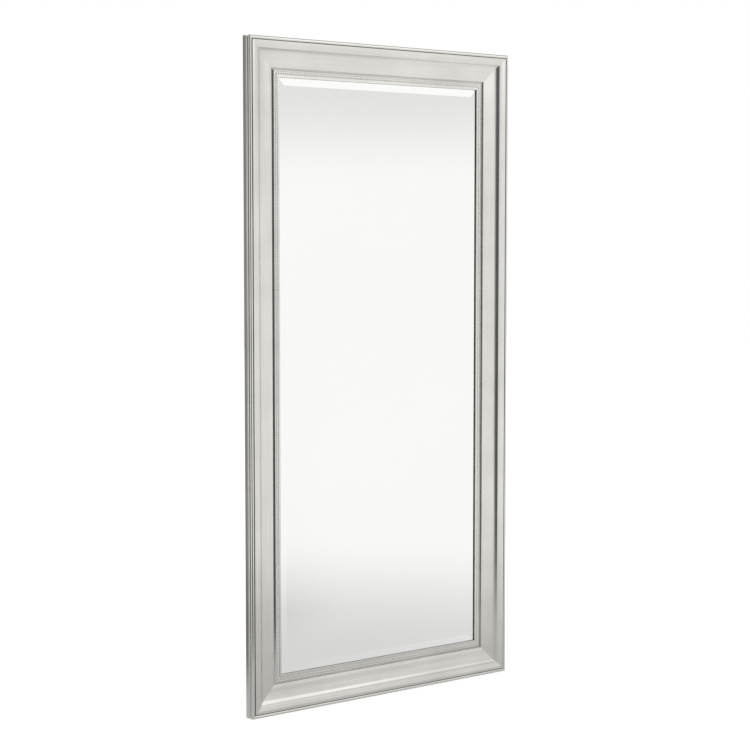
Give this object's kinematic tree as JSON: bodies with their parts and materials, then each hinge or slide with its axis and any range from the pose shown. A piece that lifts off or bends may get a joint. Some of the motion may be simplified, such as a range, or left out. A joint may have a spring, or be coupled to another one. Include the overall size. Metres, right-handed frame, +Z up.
{
  "type": "leaning floor mirror",
  "caption": "Tall mirror that stands on the floor against a wall: mitred scooped moulding, beaded inner slip, bevelled plate, closed back and swinging D-ring hangers.",
  "frame": {"origin": "on the floor, under the middle of the mirror: centre of the bounding box's bottom face", "axes": "+Z up; +X to the right as seen from the front; the mirror faces -Y and its back, with the bumpers, faces the wall at +Y"},
  "size_m": [0.813, 0.0375, 1.676],
  "materials": {
    "silver_moulding": "satin silver leaf over shaped wood, faintly brushed along the stick",
    "mirror_plate": "polished 4 mm plate, silvered behind, with a polished bevel",
    "foam_sheet": "thin white foam sheet",
    "backing_board": "bare brown hardboard",
    "zinc_plated_steel": "bright zinc plate",
    "black_rubber": "matt black"
  },
  "bodies": {
    "mirror_body": {"left_stile": "silver_moulding", "right_stile": "silver_moulding", "top_rail": "silver_moulding", "bottom_rail": "silver_moulding", "left_beaded_slip": "silver_moulding", "right_beaded_slip": "silver_moulding", "top_beaded_slip": "silver_moulding", "bottom_beaded_slip": "silver_moulding", "mirror_glass": "mirror_plate", "glass_setting_pads": "black_rubber", "cushion_sheet": "foam_sheet", "backing_board": "backing_board", "backing_points": "zinc_plated_steel", "corner_nails": "zinc_plated_steel", "corner_brace_top_left": "zinc_plated_steel", "corner_brace_top_right": "zinc_plated_steel", "corner_brace_bottom_left": "zinc_plated_steel", "corner_brace_bottom_right": "zinc_plated_steel", "brace_screws": "zinc_plated_steel", "hanger_plate_left": "zinc_plated_steel", "hanger_plate_right": "zinc_plated_steel", "hanger_plate_top": "zinc_plated_steel", "hanger_plate_bottom": "zinc_plated_steel", "hanger_screws": "zinc_plated_steel", "wall_bumper_top_left": "black_rubber", "wall_bumper_top_right": "black_rubber", "wall_bumper_bottom_left": "black_rubber", "wall_bumper_bottom_right": "black_rubber"},
    "left_ring": {"hanger_ring_left": "zinc_plated_steel"},
    "right_ring": {"hanger_ring_right": "zinc_plated_steel"},
    "top_ring": {"hanger_ring_top": "zinc_plated_steel"},
    "bottom_ring": {"hanger_ring_bottom": "zinc_plated_steel"}
  },
  "joints": [
    {"name": "left_ring_swing", "type": "hinge", "parent": "mirror_body", "child": "left_ring", "pos_m": [-0.3545, 0.01455, 1.336], "axis": [0, 0, 1], "range_deg": [-5, 180]},
    {"name": "right_ring_swing", "type": "hinge", "parent": "mirror_body", "child": "right_ring", "pos_m": [0.3545, 0.01455, 1.336], "axis": [0, 0, -1], "range_deg": [-5, 180]},
    {"name": "top_ring_swing", "type": "hinge", "parent": "mirror_body", "child": "top_ring", "pos_m": [-0.2065, 0.01455, 1.64], "axis": [0, 0, -1], "range_deg": [-5, 180]},
    {"name": "bottom_ring_swing", "type": "hinge", "parent": "mirror_body", "child": "bottom_ring", "pos_m": [-0.2065, 0.01455, 0.036], "axis": [0, 0, -1], "range_deg": [-5, 180]}
  ]
}
